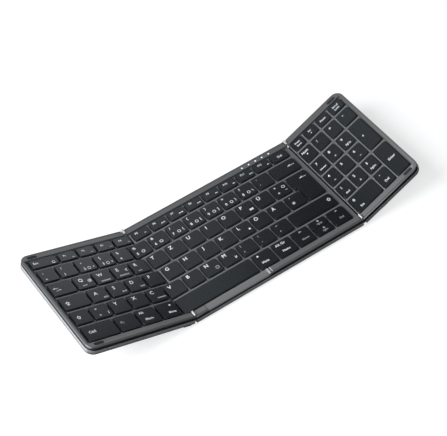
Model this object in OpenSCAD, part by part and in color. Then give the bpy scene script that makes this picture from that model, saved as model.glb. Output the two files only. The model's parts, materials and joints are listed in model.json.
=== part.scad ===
// Three-panel folding keyboard with a number block, standing on its middle panel.
// X runs along the keyboard, Y from the user's edge to the back, Z up. The origin lies on the
// desk, in the middle of the middle panel's front foot.

/* [Panels] */
// Distance between the two fold axes, the width of the middle panel
fold_span = 169.2; // [164:0.2:180]
// Reach of the left wing, from its fold axis to its outer end
left_reach = 101; // [96:0.5:108]
// Reach of the right wing, from its fold axis to its outer end
right_reach = 66; // [62:0.5:72]
// Thickness of a panel from its underside to its deck
body_t = 6.2; // [6:0.1:8]
// Height of the rails above the deck
rail_h = 2.5; // [2.3:0.1:3]
// Width of the rail along the front edge
front_rail_w = 7; // [6.6:0.1:8]
// Width of the rail along the back edge
back_rail_w = 6.5; // [6.2:0.1:8]
// Width of the rounded bead across a wing's outer end
bead_w = 4.2; // [3.6:0.1:5]
// Corner radius of the wings' outer ends, seen from above
corner_r = 8; // [8:0.5:10]
// Radius along the bottom edge of the lower cases
bottom_r = 2.5; // [1:0.1:2.8]
// Gap between two panels along a fold when they lie flat
fold_gap = 0.3; // [0.2:0.05:0.5]
// How far the left wing is raised from flat, in degrees
left_lift = 19.8; // [0:0.1:90]
// How far the right wing is raised from flat, in degrees
right_lift = 24.3; // [0:0.1:90]

/* [Key rows] */
// Pitch of the letter, number and function keys
key_pitch = 18; // [17.4:0.1:18.4]
// Pitch of the number block's columns
numpad_pitch = 15.25; // [14.6:0.05:15.6]
// Pitch of the modifier keys in the front row
modifier_pitch = 20; // [19:0.1:20.4]
// Pitch of the arrow keys
arrow_pitch = 18.6; // [17.8:0.1:19]
// Space between two keys in a row
col_gap = 1.9; // [1.7:0.1:2.3]
// Space between two rows
row_gap = 3; // [2.6:0.1:3.4]
// Depth of a letter key, front to back
letter_key_d = 15; // [14:0.1:16]
// Depth of a key in the front row
space_key_d = 17.3; // [16:0.1:19]
// Depth of a function key
function_key_d = 10.1; // [9:0.1:11]
// Space between the front row and the front rail
front_margin = 1.5; // [1.3:0.1:2.5]
// Space between the function row and the back rail
back_margin = 0.7; // [0.6:0.1:2]
// Space between the end keys and the outer end's bead
end_margin = 1.5; // [1:0.1:2.5]
// Space from the number block's last keys to the bead
numpad_margin = 0.6; // [0.5:0.1:2]
// Width of the bare deck beside the right fold
right_margin = 4.2; // [3.5:0.1:6]

/* [Stagger] */
// Start of the front row, from the left fold axis
space_row_start = -6.7; // [-7.5:0.1:-5]
// Start of the left wing's three modifier keys
left_modifier_start = -66; // [-67:0.1:-65]
// Start of the lower letter row on the middle panel
lower_row_start = -6.7; // [-7.5:0.1:-5]
// Start of the home row on the middle panel
home_row_start = 2; // [1:0.1:3]
// Start of the upper letter row on the middle panel
upper_row_start = -1.2; // [-2:0.1:0]
// Start of the number row on the middle panel
number_row_start = -7.3; // [-8:0.1:-6]
// Start of the function row on the middle panel
function_row_start = 2.2; // [1:0.1:3]

/* [Keycaps] */
// Height of a keycap's top above the deck
key_rise = 2; // [1.6:0.1:2.1]
// How far a key travels
key_travel = 1.3; // [1:0.1:1.4]
// Corner radius of a keycap, seen from above
key_r = 2; // [1:0.1:2.5]
// How far each side of a keycap leans in
key_taper = 0.3; // [0.1:0.05:0.5]
// Chamfer round a keycap's top
key_chamfer = 0.25; // [0.15:0.05:0.4]
// Wall of a keycap
key_wall = 1; // [0.8:0.1:1.2]
// Clearance between a keycap and its well
key_clear = 0.3; // [0.2:0.05:0.4]

/* [Shells] */
// Wall of a lower case
case_wall = 1.6; // [1.4:0.1:2]
// Floor of a lower case
floor_t = 1.2; // [1:0.1:1.4]
// Wall of a lower case along a fold
fold_wall = 0.5; // [0.4:0.05:0.7]
// Reach of the right wing's floor under the middle panel, past the fold axis
lap_reach = 1.5; // [1.1:0.1:2]
// Thickness of the floor where it reaches under the middle panel
lap_t = 0.6; // [0.4:0.05:0.6]
// Thickness of a deck plate
deck_t = 1.2; // [1:0.1:1.4]
// Width of the ledge that carries a deck
ledge_w = 1.4; // [1:0.1:2]
// Height of the dark groove between the lower case and the rail
groove_h = 1; // [0.6:0.1:1.2]
// Depth of that groove
groove_d = 0.6; // [0.4:0.05:0.8]
// Width of the narrow strip along a rail's outer edge
strip_w = 1.5; // [1.3:0.1:2]
// Radius along a rail's outer edge
edge_r = 0.9; // [0.4:0.1:1.2]
// Width of a board rib
rib_w = 1.2; // [0.8:0.1:1.6]

/* [Electronics] */
// Thickness of a switch board
board_t = 0.8; // [0.6:0.1:1]
// Radius of a switch dome at its foot
dome_r = 2.6; // [2:0.1:3]
// Length of the battery
battery_l = 60; // [40:1:70]
// Width of the battery
battery_w = 36; // [20:1:45]
// Thickness of the battery
battery_t = 1.6; // [1.2:0.1:1.6]
// Width of the charging socket
socket_w = 8.9; // [8.9:0.1:9.2]
// Height of the charging socket
socket_h = 3.2; // [3.1:0.1:3.3]
// Distance of the leftmost indicator light from the right fold axis
light_x = 47.6; // [40:0.1:54]
// Pitch of the indicator lights
light_pitch = 7.05; // [5:0.05:8]
// Number of indicator lights
light_count = 5; // [1:1:5]
// Radius of an indicator light
light_r = 0.7; // [0.4:0.05:1]

/* [Rail fittings] */
// Left end of the front rail's cover, from the left fold axis
cover_start = 12.2; // [12:0.1:20]
// Right end of the front rail's cover, from the left fold axis
cover_end = 72.5; // [60:0.1:74]
// Thickness of the front rail's cover
cover_t = 1.2; // [0.8:0.1:1.5]
// Width of the wide bright bar beside the cover
wide_bar_w = 1.8; // [1:0.1:2.2]
// Width of the narrow bright bar
narrow_bar_w = 0.8; // [0.5:0.1:1]
// Space between the two bright bars
bar_space = 1.6; // [0.5:0.1:2.5]
// Length of a corner pad
pad_l = 9; // [6:0.5:11]
// Width of a corner pad
pad_w = 3; // [2:0.1:3.4]
// Thickness of a corner pad
pad_t = 0.9; // [0.6:0.1:1.2]
// Distance of a corner pad's centre from the wing's outer end
pad_set = 11; // [9:0.5:14]

/* [Hinges] */
// Height of the fold axes above the rails
axis_rise = 0.2; // [0.15:0.05:0.4]
// Radius of a hinge barrel
barrel_r = 1.2; // [1:0.05:1.3]
// Radius of a hinge pin
pin_r = 0.5; // [0.4:0.05:0.6]
// Running clearance of a wing's knuckle on the pin
pin_clear = 0.05; // [0.02:0.01:0.1]
// Length of a hinge leaf
leaf_l = 9; // [6:0.5:12]
// Thickness of a hinge leaf
leaf_t = 0.6; // [0.4:0.05:0.6]

/* [Feet] */
// Height of the feet
foot_h = 1; // [0.6:0.1:2]
// Width of the feet, front to back
foot_w = 4; // [3:0.5:6]
// Length of the middle panel's feet
long_foot_l = 110; // [60:5:140]
// Length of a wing's feet
short_foot_l = 9; // [6:0.5:14]
// Distance of the middle panel's feet from its front and back edges, to their centres
foot_set = 9; // [6:0.5:14]
// Distance of the wings' inner feet from the front and back edges
near_foot_inset = 1.5; // [1.2:0.1:4]
// Distance of the wings' outer feet from the front and back edges
far_foot_inset = 5; // [2:0.5:8]
// Start of the left wing's inner feet, from the fold axis
left_foot_start = 1.2; // [1:0.1:6]
// Start of the right wing's inner feet, from the fold axis
right_foot_start = 17; // [2:0.5:24]

/* [Hidden] */

$fn = 48;
joint_overlap = 0.01;   // how far two pieces of one solid reach into each other
through = 1;            // how far a cut reaches past what it cuts

// heights, from the desk up
z_bottom = foot_h;
z_deck = z_bottom + body_t;
z_rail = z_deck + rail_h;
z_axis = z_rail + axis_rise;
z_groove = z_deck + groove_h;
z_deck_under = z_deck - deck_t;
z_floor = z_bottom + floor_t;
z_key_top = z_deck + key_rise;
z_key_bottom = z_deck_under;
hook_t = 0.4;           // hooks on a keycap's skirt, which hold it under the deck
hook_w = 4;
hook_reach = 0.4;
board_clear = 0.1;      // between a pressed keycap's hooks and the switch board
z_board_top = z_key_bottom - hook_t - key_travel - board_clear;
z_board = z_board_top - board_t;

// depths, from the front foot's middle back
y_front = -foot_set;
y_front_wall = y_front + front_rail_w;
row_depths = [space_key_d, letter_key_d, letter_key_d, letter_key_d, letter_key_d,
              function_key_d];
function row_y0(row) = row == 0 ? y_front_wall + front_margin
                                : row_y1(row - 1) + row_gap;
function row_y1(row) = row_y0(row) + row_depths[row];
last_row = len(row_depths) - 1;
y_back_wall = row_y1(last_row) + back_margin;
y_back = y_back_wall + back_rail_w;
panel_depth = y_back - y_front;

// the fold line, one value for each band from the front rail to the back rail
row_starts = [space_row_start, lower_row_start, home_row_start, upper_row_start,
              number_row_start, function_row_start];
fold_set = 0.5;         // the fold line runs this far outside the middle panel's first keys
left_fold = concat([0], [for (start = row_starts) start - fold_set], [0]);
straight_fold = [for (band = left_fold) 0];
wing_fold = [for (band = left_fold) -band];
rail_step = 0.15;       // the steps beside the rails stand clear of them by this much
band_ends = concat([y_front_wall + rail_step],
                   [for (row = [0 : last_row - 1]) row_y1(row) + row_gap / 2],
                   [y_back_wall - rail_step, y_back]);

// places along the rows, from the left fold axis
row_end = fold_span - right_margin;
half_gap = col_gap / 2;
fold_key_edge = fold_gap / 2 + fold_wall + key_clear;
left_end = -(left_reach - bead_w - end_margin);
arrow_start = row_end - 3 * arrow_pitch;
right_modifier_start = arrow_start - 2 * modifier_pitch;
arrow_split = 0.4;      // gap between the two half-depth arrow keys

// places across the number block, from the right fold axis
numpad_start = -0.2;
numpad_end = right_reach - bead_w - numpad_margin;
function numpad_x0(column) = column == 0 ? fold_key_edge
    : numpad_start + column * numpad_pitch + half_gap;
function numpad_x1(column) = column == 3 ? numpad_end
    : numpad_start + (column + 1) * numpad_pitch - half_gap;

// ---- key layouts: each key is [left edge, right edge, front edge, back edge] ----

function key(x0, x1, row) = [x0, x1, row_y0(row), row_y1(row)];
function tall_key(x0, x1, row) = [x0, x1, row_y0(row), row_y1(row + 1)];

// count keys of one pitch in a row, from the cell that starts at x
function keys_from(x, count, pitch, row) =
    [for (i = [0 : count - 1]) key(x + i * pitch + half_gap, x + (i + 1) * pitch - half_gap, row)];

// the four keys of a letter, number or function row on the left wing, the last one at the fold
function left_four(row) = let (x = row_starts[row] - 4 * key_pitch)
    concat(keys_from(x, 3, key_pitch, row),
           [key(x + 3 * key_pitch + half_gap, left_fold[row + 1] - fold_key_edge, row)]);
function left_end_key(row) =
    [key(left_end, row_starts[row] - 4 * key_pitch - half_gap, row)];

left_modifiers = concat(keys_from(left_modifier_start, 2, modifier_pitch, 0),
    [key(left_modifier_start + 2 * modifier_pitch + half_gap, left_fold[1] - fold_key_edge, 0)]);
control = [key(left_end, left_modifier_start - half_gap, 0)];

middle_last_x = row_end - half_gap;
function after_keys(count, row) =
    [key(row_starts[row] + count * key_pitch + half_gap, middle_last_x, row)];
right_functions = keys_from(function_row_start, 8, key_pitch, 5);
right_numbers = keys_from(number_row_start, 8, key_pitch, 4);
right_uppers = keys_from(upper_row_start, 8, key_pitch, 3);
right_homes = keys_from(home_row_start, 8, key_pitch, 2);
right_lowers = keys_from(lower_row_start, 7, key_pitch, 1);
enter_parts = [after_keys(8, 3)[0],
    tall_key(home_row_start + 8 * key_pitch + half_gap, middle_last_x, 2)];
space = [key(space_row_start + half_gap, right_modifier_start - half_gap, 0)];
right_modifiers = keys_from(right_modifier_start, 2, modifier_pitch, 0);
side_arrows = [keys_from(arrow_start, 1, arrow_pitch, 0)[0],
    keys_from(arrow_start + 2 * arrow_pitch, 1, arrow_pitch, 0)[0]];
arrow_cell = keys_from(arrow_start + arrow_pitch, 1, arrow_pitch, 0)[0];
arrow_mid = (arrow_cell[2] + arrow_cell[3]) / 2;
down_arrow = [[arrow_cell[0], arrow_cell[1], arrow_cell[2], arrow_mid - arrow_split / 2]];
up_arrow = [[arrow_cell[0], arrow_cell[1], arrow_mid + arrow_split / 2, arrow_cell[3]]];

function numpad_key(column, row) = key(numpad_x0(column), numpad_x1(column), row);
numpad_tops = [for (column = [0 : 3]) numpad_key(column, 5)];
numpad_signs = [for (column = [0 : 3]) numpad_key(column, 4)];
numpad_digits = [for (row = [1 : 3]) for (column = [0 : 2]) numpad_key(column, row)];
numpad_plus = [tall_key(numpad_x0(3), numpad_x1(3), 2)];
numpad_enter = [tall_key(numpad_x0(3), numpad_x1(3), 0)];
numpad_zero = [key(numpad_x0(0), numpad_x1(1), 0)];
numpad_comma = [numpad_key(2, 0)];

left_keys = concat(left_end_key(5), left_four(5), left_end_key(4), left_four(4),
    left_end_key(3), left_four(3), left_end_key(2), left_four(2), left_end_key(1), left_four(1),
    control, left_modifiers);
middle_keys = concat(right_functions, after_keys(8, 5), right_numbers, after_keys(8, 4),
    right_uppers, right_homes, enter_parts, right_lowers, after_keys(7, 1), space,
    right_modifiers, side_arrows, [arrow_cell]);
right_keys = concat(numpad_tops, numpad_signs, numpad_digits, numpad_plus, numpad_enter,
    numpad_zero, numpad_comma);

// ---- placing ----

// A wing is drawn flat, with u running outwards from its fold axis, and then raised.
module on_left_wing() {
    translate([-fold_span / 2, 0, z_axis]) mirror([1, 0, 0]) rotate([0, -left_lift, 0])
        translate([0, 0, -z_axis]) children();
}
module on_right_wing() {
    translate([fold_span / 2, 0, z_axis]) rotate([0, -right_lift, 0])
        translate([0, 0, -z_axis]) children();
}
// The middle panel is drawn from the left fold axis.
module on_middle() { translate([-fold_span / 2, 0, 0]) children(); }
// Keys of the left wing are laid out in the middle panel's direction.
module turned() { mirror([1, 0, 0]) children(); }

// ---- keycaps ----

module rounded_rect(x0, x1, y0, y1, r) {
    translate([x0 + r, y0]) square([x1 - x0 - 2 * r, y1 - y0]);
    translate([x0, y0 + r]) square([x1 - x0, y1 - y0 - 2 * r]);
    for (x = [x0 + r, x1 - r], y = [y0 + r, y1 - r]) translate([x, y]) circle(r);
}

// side view of a keycap: an upright skirt, a leaning side and a chamfered top
module cap_profile(a0, a1) {
    lean_top = z_key_top - key_chamfer;
    inner = key_taper + key_chamfer;
    polygon([[a0, z_key_bottom], [a0, z_deck], [a0 + key_taper, lean_top],
             [a0 + inner, z_key_top], [a1 - inner, z_key_top], [a1 - key_taper, lean_top],
             [a1, z_deck], [a1, z_key_bottom]]);
}

module cap_outside(k) {
    intersection() {
        translate([0, 0, z_key_bottom]) linear_extrude(z_key_top - z_key_bottom)
            rounded_rect(k[0], k[1], k[2], k[3], key_r);
        translate([0, k[3], 0]) rotate([90, 0, 0]) linear_extrude(k[3] - k[2])
            cap_profile(k[0], k[1]);
        translate([k[0], 0, 0]) rotate([90, 0, 90]) linear_extrude(k[1] - k[0])
            cap_profile(k[2], k[3]);
    }
}

module cap_inside(k) {
    translate([k[0] + key_wall, k[2] + key_wall, z_key_bottom - through])
        cube([k[1] - k[0] - 2 * key_wall, k[3] - k[2] - 2 * key_wall,
              z_key_top - key_wall - z_key_bottom + through]);
}

// hooks under the deck at a keycap's front (0) or back (1)
module hook(k, end) {
    y0 = end == 0 ? k[2] - key_clear - hook_reach : k[3] - key_wall;
    translate([(k[0] + k[1] - hook_w) / 2, y0, z_key_bottom - hook_t])
        cube([hook_w, key_wall + key_clear + hook_reach, hook_t]);
}

module keycaps(keys, ends = [0, 1]) {
    color("#2e2f31") for (k = keys) {
        difference() {
            cap_outside(k);
            cap_inside(k);
        }
        for (end = ends) hook(k, end);
    }
}

// the stepped cap over two rows is one piece
module enter_cap() {
    color("#2e2f31") {
        difference() {
            for (k = enter_parts) cap_outside(k);
            for (k = enter_parts) cap_inside(k);
        }
        for (end = [0, 1]) hook(enter_parts[1], end);
    }
}

// ---- panels ----

// the fold side of a panel, moved into the panel by inset, from front to back
function step_y(fold, band, inset) = band < 0 ? y_front
    : band == len(fold) - 1 ? y_back
    : band_ends[band] - inset * sign(fold[band + 1] - fold[band]);
function fold_points(fold, inset, shift) =
    [for (band = [0 : len(fold) - 1]) for (end = [-1, 0])
        [fold[band] + inset + shift, step_y(fold, band + end, inset)]];
function backwards(points) = [for (i = [len(points) - 1 : -1 : 0]) points[i]];

// from above: everything on the panel's side of its fold line
module beyond_fold(fold, inset, far) {
    polygon(concat(fold_points(fold, inset, 0), [[far, y_back], [far, y_front]]));
}

module wing_plan(reach, fold, edge_inset, fold_inset) {
    r = corner_r - edge_inset;
    intersection() {
        beyond_fold(fold, fold_inset, reach);
        union() {
            translate([-reach, y_front + edge_inset])
                square([2 * reach - edge_inset - r, panel_depth - 2 * edge_inset]);
            translate([-reach, y_front + edge_inset + r])
                square([2 * reach - edge_inset, panel_depth - 2 * edge_inset - 2 * r]);
            for (y = [y_front + corner_r, y_back - corner_r])
                translate([reach - corner_r, y]) circle(r);
        }
    }
}

module middle_plan(edge_inset, fold_inset) {
    intersection() {
        polygon(concat(fold_points(left_fold, fold_inset, 0),
            backwards([for (p = fold_points(straight_fold, fold_inset, 0))
                [fold_span - p[0], p[1]]])));
        translate([-fold_span, y_front + edge_inset])
            square([3 * fold_span, panel_depth - 2 * edge_inset]);
    }
}

// a profile of distance from the edge and height, run along a panel's front or back edge
module front_run(x0, x1) {
    translate([x0, y_front, 0]) rotate([90, 0, 90]) linear_extrude(x1 - x0) children();
}
module back_run(x0, x1) {
    translate([x0, y_back, 0]) mirror([0, 1, 0]) rotate([90, 0, 90])
        linear_extrude(x1 - x0) children();
}
// the same along a wing's outer end
module end_run(reach, front_set, back_set) {
    translate([reach, y_back - back_set, 0]) mirror([1, 0, 0]) rotate([90, 0, 0])
        linear_extrude(panel_depth - front_set - back_set) children();
}
// and round its two corners
module corner_runs(reach) {
    for (side = [-1, 1])
        translate([reach - corner_r, side > 0 ? y_back - corner_r : y_front + corner_r, 0])
            rotate([0, 0, side > 0 ? 0 : -90]) rotate_extrude(angle = 90)
                translate([corner_r, 0]) mirror([1, 0]) children();
}
module wing_edge(reach) {
    front_run(fold_gap / 2, reach - corner_r) children();
    back_run(fold_gap / 2, reach - corner_r) children();
    end_run(reach, corner_r, corner_r) children();
    corner_runs(reach) children();
}
module middle_edge() {
    front_run(fold_gap / 2, fold_span - fold_gap / 2) children();
    back_run(fold_gap / 2, fold_span - fold_gap / 2) children();
}

// outer wall of a lower case, round along the bottom, with the lip that carries the rail
module case_profile() {
    difference() {
        translate([0, z_bottom]) square([case_wall, body_t]);
        translate([0, z_bottom]) square(bottom_r);
    }
    intersection() {
        translate([bottom_r, z_bottom + bottom_r]) circle(bottom_r);
        translate([0, z_bottom]) square([bottom_r + joint_overlap, bottom_r + joint_overlap]);
    }
    translate([groove_d, z_deck - joint_overlap])
        square([case_wall - groove_d, groove_h + joint_overlap]);
}

fine_groove = 0.35;     // width and depth of the groove beside a rail's strip
rail_lap = case_wall + 0.1;     // the deck starts this far inside the edge
inner_chamfer = 0.3;

// what stands clear of the lower case's lip
module above_lip() {
    difference() {
        children();
        translate([-through, z_deck - through]) square([rail_lap + through, groove_h + through]);
    }
}
// cross-section of a rail without its groove, to a given distance from the edge
module rail_outline(width, chamfer) {
    above_lip() difference() {
        polygon([[0, z_deck], [0, z_rail], [width - chamfer, z_rail],
                 [width, z_rail - chamfer], [width, z_deck]]);
        difference() {
            translate([-through, z_rail - edge_r]) square([edge_r + through, edge_r + through]);
            translate([edge_r, z_rail - edge_r]) circle(edge_r);
        }
    }
}
// the same with the fine groove that sets off the strip along the edge
module rail_profile(width) {
    difference() {
        rail_outline(width, inner_chamfer);
        translate([strip_w, z_rail - fine_groove]) square([fine_groove, fine_groove + through]);
    }
}
// inner flank of the bead across a wing's end, which falls from the rail's height to the deck
flank_start = bead_w - rail_h;
module flank_profile() {
    above_lip() intersection() {
        translate([flank_start, z_deck]) circle(rail_h);
        translate([flank_start, z_deck]) square([rail_h + through, rail_h + through]);
    }
}

module slab(z0, z1) { translate([0, 0, z0]) linear_extrude(z1 - z0) children(); }

// ribs that carry a switch board, one under each gap between two rows
module board_ribs(x0, x1) {
    for (row = [0 : last_row - 1])
        translate([x0, row_y1(row) + (row_gap - rib_w) / 2, z_floor - joint_overlap])
            cube([x1 - x0, rib_w, z_board - z_floor + joint_overlap]);
}

cavity_inset = case_wall + ledge_w;
board_room = 0.3;       // between a switch board and the cavity's wall
board_inset = cavity_inset + board_room;
fold_cavity = fold_gap / 2 + fold_wall;
rib_set = 9;            // ribs stop short of the stepped fold side by this much

// The right wing's floor has a lip that runs under the middle panel and closes the fold, which
// opens towards the bottom when the wing is raised.
lap_clear = 0.1;        // between the lip and the panel above it
lap_room = 0.3;         // beyond the lip's tip and its two ends
module lap(reach, end_set, thickness) {
    translate([-reach, y_front + bottom_r + end_set, z_bottom])
        cube([reach + fold_cavity, panel_depth - 2 * (bottom_r + end_set), thickness]);
}

module wing_case(reach, fold, foot_start) {
    color("#3b3d3f") difference() {
        union() {
            slab(z_bottom, z_deck) wing_plan(reach, fold, bottom_r, fold_gap / 2);
            slab(z_bottom + bottom_r, z_deck)
                wing_plan(reach, fold, case_wall - joint_overlap, fold_gap / 2);
            wing_edge(reach) case_profile();
        }
        slab(z_floor, z_deck + through) wing_plan(reach, fold, cavity_inset, fold_cavity);
        slab(z_deck_under, z_deck + through) wing_plan(reach, fold, case_wall, -through);
        hinge_pockets();
        wing_foot_pads(reach, foot_start, 0);
    }
    color("#3b3d3f") board_ribs(rib_set, reach - cavity_inset + joint_overlap);
}
module right_case() {
    wing_case(right_reach, straight_fold, right_foot_start);
    color("#3b3d3f") lap(lap_reach, lap_room, lap_t);
}

module wing_deck(reach, fold, keys, flip) {
    color("#6e7173") slab(z_deck_under, z_deck) difference() {
        wing_plan(reach, fold, rail_lap, fold_gap / 2);
        mirror([flip ? 1 : 0, 0]) for (k = keys)
            rounded_rect(k[0] - key_clear, k[1] + key_clear, k[2] - key_clear, k[3] + key_clear,
                         key_r + key_clear);
    }
}

pad_y = [y_front + (strip_w + fine_groove + front_rail_w) / 2,
         y_back - (strip_w + fine_groove + back_rail_w) / 2];
pad_flat = 0.1;         // half of the short straight at each end of a pad
pad_r = pad_w / 2 - pad_flat;
pad_proud = 0.1;
module pads(reach, z1) {
    for (y = pad_y) slab(z_rail - pad_t, z1)
        rounded_rect(reach - pad_set - pad_l / 2, reach - pad_set + pad_l / 2,
                     y - pad_w / 2, y + pad_w / 2, pad_r);
}

module wing_rim(reach) {
    color("#85888a") difference() {
        union() {
            front_run(fold_gap / 2, reach - corner_r) rail_profile(front_rail_w);
            back_run(fold_gap / 2, reach - corner_r) rail_profile(back_rail_w);
            difference() {
                corner_runs(reach) rail_outline(corner_r, 0);
                translate([0, y_front_wall, z_deck - through])
                    cube([reach - flank_start, y_back_wall - y_front_wall, rail_h + 2 * through]);
            }
            end_run(reach, corner_r, corner_r) rail_outline(flank_start, 0);
            end_run(reach, front_rail_w, back_rail_w) flank_profile();
        }
        pads(reach, z_rail + through);
        hinge_pockets();
    }
}

module corner_pads(reach) {
    color("#1c1c1d") pads(reach, z_rail + pad_proud);
}

dome_clear = 0.3;       // between a pressed keycap and its switch dome
dome_slope = 1;         // a dome's top is this much narrower all round than its foot
dome_top_r = dome_r - dome_slope;
module dome_at(x, y) {
    dome_h = z_key_top - key_wall - key_travel - dome_clear - z_board_top;
    translate([x, y, z_board_top - joint_overlap])
        cylinder(h = dome_h + joint_overlap, r1 = dome_r, r2 = dome_top_r);
}
module domes(keys) {
    for (k = keys) dome_at((k[0] + k[1]) / 2, (k[2] + k[3]) / 2);
}

module wing_board(reach, fold, keys, flip) {
    color("#2d5a3a") {
        slab(z_board, z_board_top) wing_plan(reach, fold, board_inset, fold_cavity + board_clear);
        mirror([flip ? 1 : 0, 0, 0]) domes(keys);
    }
}

// a pair of feet at the front and the back, let into the lower case
foot_sink = 0.3;
foot_r = 1.5;
module foot_pair(x0, x1, inset, z0) {
    for (y = [y_front + inset, y_back - inset - foot_w]) slab(z0, z_bottom + foot_sink)
        rounded_rect(x0, x1, y, y + foot_w, foot_r);
}
end_foot_set = 8;       // from a wing's outer end to its outer feet
module wing_foot_pads(reach, foot_start, z0) {
    foot_pair(foot_start, foot_start + short_foot_l, near_foot_inset, z0);
    foot_pair(reach - end_foot_set - short_foot_l, reach - end_foot_set, far_foot_inset, z0);
}
module wing_feet(reach, foot_start) {
    color("#1c1c1d") wing_foot_pads(reach, foot_start, 0);
}
module long_feet() {
    foot_pair((fold_span - long_foot_l) / 2, (fold_span + long_foot_l) / 2,
              foot_set - foot_w / 2, 0);
}

// ---- hinges, drawn at one fold axis with u running into the piece that they serve ----

// the front barrel ends at the keys, the back one at the back edge
notch_clear = 0.3;
barrel_l = front_rail_w - strip_w - notch_clear;
barrel_y0 = [y_front_wall - barrel_l, y_back - barrel_l];
leaf_cut = 0.8;                 // a leaf is this much narrower than its barrel
leaf_w = barrel_l - leaf_cut;
leaf_rise = 0.1;                // from the barrel's lowest line to the top of the leaf
leaf_bottom = barrel_r - leaf_rise + leaf_t;    // below the axis
web_reach = 0.6;                // of a knuckle's web, past the barrel
web_w = barrel_r + web_reach;
leaf_clear = 0.3;               // between the leaf and the other body's knuckles
leaf_start = barrel_r + leaf_clear;
knuckle_gap = 0.1;
centre_share = 0.4;             // of the barrel's length, for the wing's knuckle
centre_l = barrel_l * centre_share;
side_l = (barrel_l - centre_l) / 2;

// room in a rail for the barrel and the leaf
module hinge_pockets() {
    for (end = [0, 1]) {
        translate([-through, barrel_y0[end] - notch_clear, z_axis - leaf_bottom])
            cube([web_w + through, barrel_l + notch_clear + through, leaf_bottom + through]);
        translate([leaf_start, barrel_y0[end], z_axis - leaf_bottom])
            cube([leaf_l - leaf_start, leaf_w, leaf_t]);
    }
}

module knuckle(y, length, bore_r) {
    difference() {
        union() {
            translate([0, y + length, z_axis]) rotate([90, 0, 0])
                cylinder(h = length, r = barrel_r);
            translate([fold_gap / 2, y, z_axis - leaf_bottom])
                cube([web_w - fold_gap / 2, length, leaf_bottom - pin_r - knuckle_gap]);
        }
        translate([0, y - through, z_axis]) rotate([-90, 0, 0])
            cylinder(h = length + 2 * through, r = bore_r);
    }
}

module leaf_plate(end) {
    translate([leaf_start, barrel_y0[end], z_axis - leaf_bottom])
        cube([leaf_l - leaf_start, leaf_w, leaf_t]);
}

module frame_leaves() {
    for (end = [0, 1]) {
        leaf_plate(end);
        knuckle(barrel_y0[end], side_l - knuckle_gap, pin_r);
        knuckle(barrel_y0[end] + side_l + centre_l + knuckle_gap, side_l - knuckle_gap, pin_r);
    }
}
module wing_leaves() {
    color("silver") for (end = [0, 1]) {
        leaf_plate(end);
        knuckle(barrel_y0[end] + side_l, centre_l, pin_r + pin_clear);
    }
}
module pins() {
    for (y = barrel_y0) translate([0, y, z_axis]) rotate([-90, 0, 0])
        cylinder(h = barrel_l, r = pin_r);
}

// ---- middle panel ----

// pockets for the hinges at both ends of the middle panel's rails
module middle_hinge_pockets() {
    hinge_pockets();
    translate([fold_span, 0, 0]) mirror([1, 0, 0]) hinge_pockets();
}

battery_x = fold_span / 2 - battery_l / 2;
battery_y = row_y1(1) - battery_w / 2;
battery_sink = 0.6;
z_battery = z_floor - battery_sink;
battery_room = 1;

socket_x = fold_span / 2;
socket_set = 0.2;
socket_clear = 0.3;     // between the socket and the hooks of the keys in front of it
socket_l = back_rail_w + back_margin - key_clear - hook_reach - socket_clear - socket_set;
socket_drop = 0.2;      // between the deck and the socket
z_socket = z_deck_under - socket_drop - socket_h / 2;
socket_shell = 0.35;
socket_room = 0.3;
socket_flat = 0.05;     // half of the short straight at each end of the socket's outline
module socket_shape(height, grow) {
    rounded_rect(socket_x - socket_w / 2 + grow, socket_x + socket_w / 2 - grow,
                 z_socket - height / 2, z_socket + height / 2, height / 2 - socket_flat);
}
// a solid of the socket's outline that runs from the back edge inwards
module socket_run(set, length) {
    translate([0, y_back - set, 0]) rotate([90, 0, 0]) linear_extrude(length) children();
}

// room in the middle panel's underside for the right wing's lip
module lap_recess() {
    translate([fold_span, 0, -through])
        lap(lap_reach + lap_room, 0, lap_t + lap_clear + through);
}

module middle_lower_case() {
    color("#3b3d3f") difference() {
        union() {
            slab(z_bottom, z_deck) middle_plan(bottom_r, fold_gap / 2);
            slab(z_bottom + bottom_r, z_deck)
                middle_plan(case_wall - joint_overlap, fold_gap / 2);
            middle_edge() case_profile();
        }
        slab(z_floor, z_deck + through) middle_plan(cavity_inset, fold_cavity);
        slab(z_deck_under, z_deck + through) middle_plan(case_wall, -through);
        translate([battery_x, battery_y, z_battery])
            cube([battery_l, battery_w, floor_t + through]);
        socket_run(-through, cavity_inset + 2 * through) socket_shape(socket_h, 0);
        middle_hinge_pockets();
        long_feet();
        lap_recess();
    }
    color("#3b3d3f") difference() {
        board_ribs(rib_set, fold_span - fold_cavity);
        translate([battery_x - battery_room, battery_y - battery_room, z_bottom])
            cube([battery_l + 2 * battery_room, battery_w + 2 * battery_room, body_t]);
    }
}

module middle_deck() {
    color("#6e7173") slab(z_deck_under, z_deck) difference() {
        middle_plan(rail_lap, fold_gap / 2);
        for (k = middle_keys)
            rounded_rect(k[0] - key_clear, k[1] + key_clear, k[2] - key_clear, k[3] + key_clear,
                         key_r + key_clear);
    }
}

module light_at(i) {
    translate([fold_span - light_x + i * light_pitch, pad_y[1], 0]) children();
}

module middle_back_rail() {
    color("#85888a") difference() {
        back_run(fold_gap / 2, fold_span - fold_gap / 2) rail_profile(back_rail_w);
        for (i = [0 : light_count - 1]) light_at(i) translate([0, 0, z_deck - through])
            cylinder(h = rail_h + 2 * through, r = light_r);
        middle_hinge_pockets();
    }
}

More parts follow.
